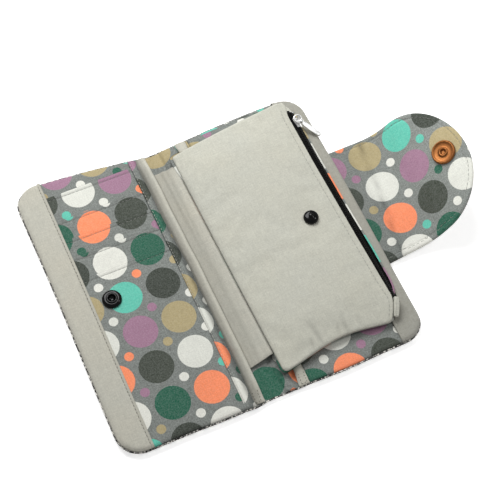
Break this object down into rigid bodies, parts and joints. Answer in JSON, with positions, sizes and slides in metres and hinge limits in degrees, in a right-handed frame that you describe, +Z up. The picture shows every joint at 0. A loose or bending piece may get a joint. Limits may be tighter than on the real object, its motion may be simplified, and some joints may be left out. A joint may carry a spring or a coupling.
{
  "type": "wallet",
  "caption": "Fabric clutch wallet laid open: card tiers on one page, a zipped pouch that turns on the other, and a curled flap that closes with a press stud.",
  "frame": {"origin": "centre of the spine, on the face that the open wallet lies on", "axes": "+X across the pages towards the back page and the flap, +Y along the spine towards the zip slider, +Z up from the table through the open pages"},
  "size_m": [0.2866, 0.2033, 0.0398],
  "materials": {
    "tweed": "black, white and grey salt-and-pepper tweed weave",
    "print_cloth": "mid grey plain weave cotton printed with coloured dots",
    "plain_cloth": "warm light grey-beige plain weave cotton, matt",
    "board": "stiff interfacing board, hidden inside",
    "zip_tape": "black woven zip tape",
    "zip_teeth": "black nylon zip teeth, slight sheen",
    "steel": "bright nickel-plated metal",
    "gunmetal": "glossy black plated metal",
    "copper": "polished copper-plated metal"
  },
  "bodies": {
    "back_page": {"shell_back": "tweed", "stiffener_back": "board", "lining_back": "print_cloth", "band_back": "plain_cloth", "pocket_back": "print_cloth", "spine_lining_back": "print_cloth", "ridge_back": "plain_cloth", "wing_right": "plain_cloth"},
    "front_page": {"shell_front": "tweed", "stiffener_front": "board", "lining_front": "print_cloth", "band_front": "plain_cloth", "spine_lining_front": "print_cloth", "ridge_front": "plain_cloth", "card_tier_1": "print_cloth", "card_tier_2": "print_cloth", "card_tier_3": "print_cloth", "card_tier_4": "print_cloth", "slip_pocket_front": "print_cloth", "slip_pocket_lining": "print_cloth", "snap_socket": "gunmetal", "snap_socket_backing": "gunmetal", "closure_stud": "copper", "closure_stud_backing": "steel", "wing_left": "plain_cloth"},
    "pouch": {"pouch_front": "plain_cloth", "pouch_back": "print_cloth", "zip_facing": "print_cloth", "zip_tape_front": "zip_tape", "zip_tape_back": "zip_tape", "zip_teeth_front": "zip_teeth", "zip_teeth_back": "zip_teeth", "zip_stop_top": "steel", "zip_stop_bottom": "steel", "zip_end_tab_top": "plain_cloth", "zip_end_tab_bottom": "plain_cloth", "snap_stud": "gunmetal", "snap_stud_backing": "gunmetal"},
    "zip_slider": {"zip_slider": "steel", "zip_bail": "steel"},
    "zip_pull": {"zip_pull": "steel"},
    "flap_root": {"flap_root_inner": "print_cloth", "flap_root_outer": "tweed"},
    "flap_tip": {"flap_tip_inner": "print_cloth", "flap_tip_outer": "tweed", "closure_socket": "copper", "closure_cap": "copper"}
  },
  "joints": [
    {"name": "cover_fold", "type": "hinge", "parent": "back_page", "child": "front_page", "pos_m": [-0.0016, 0, 0.013], "axis": [0, 1, 0], "range_deg": [0, 180]},
    {"name": "pouch_turn", "type": "hinge", "parent": "back_page", "child": "pouch", "pos_m": [0.0035, 0, 0.011], "axis": [0, 1, 0], "range_deg": [-165, 0]},
    {"name": "zip_slide", "type": "slide", "parent": "pouch", "child": "zip_slider", "axis": [0, -1, 0], "range_m": [0, 0.1425]},
    {"name": "pull_swing", "type": "hinge", "parent": "zip_slider", "child": "zip_pull", "pos_m": [0.0966, 0.076, 0.0131], "axis": [0.7983, 0.6022, 0], "range_deg": [-120, 0]},
    {"name": "flap_fold", "type": "hinge", "parent": "back_page", "child": "flap_root", "pos_m": [0.1059, 0.0031, 0.0043], "axis": [0, -1, 0], "range_deg": [0, 75]},
    {"name": "flap_curl", "type": "hinge", "parent": "flap_root", "child": "flap_tip", "pos_m": [0.12384, 0.0031, 0.00644], "axis": [0, -1, 0], "range_deg": [0, 60]}
  ],
  "couplings": [
    {"joint": "flap_curl", "follows": "flap_fold", "ratio": 0.8}
  ]
}
